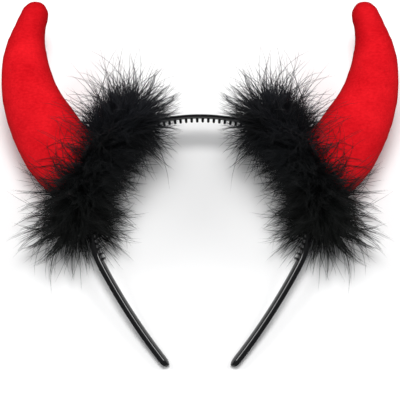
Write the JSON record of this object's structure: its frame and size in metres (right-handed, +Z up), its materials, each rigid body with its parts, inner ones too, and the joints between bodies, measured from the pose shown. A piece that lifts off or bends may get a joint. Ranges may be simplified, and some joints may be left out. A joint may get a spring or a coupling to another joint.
{
  "type": "devil horn headband",
  "caption": "Costume headband: a toothed plastic band carrying stuffed velvet horns, each with a loop of marabou feather round its base.",
  "frame": {"origin": "on the resting surface, under the middle of the headband's box", "axes": "+X to the right seen from the front, +Y from the leg tips towards the horn tips, +Z up off the surface, out of the front of the headband"},
  "size_m": [0.2378, 0.2162, 0.0803],
  "materials": {
    "band_plastic": "black moulded plastic, glossy",
    "red_velvet": "short pile velvet, taut over its stuffing",
    "black_marabou": "soft fluffy down in clumped locks"
  },
  "bodies": {
    "root": {"band": "band_plastic", "horn_right": "red_velvet", "horn_left": "red_velvet", "marabou_right": "black_marabou", "marabou_left": "black_marabou"}
  },
  "joints": []
}
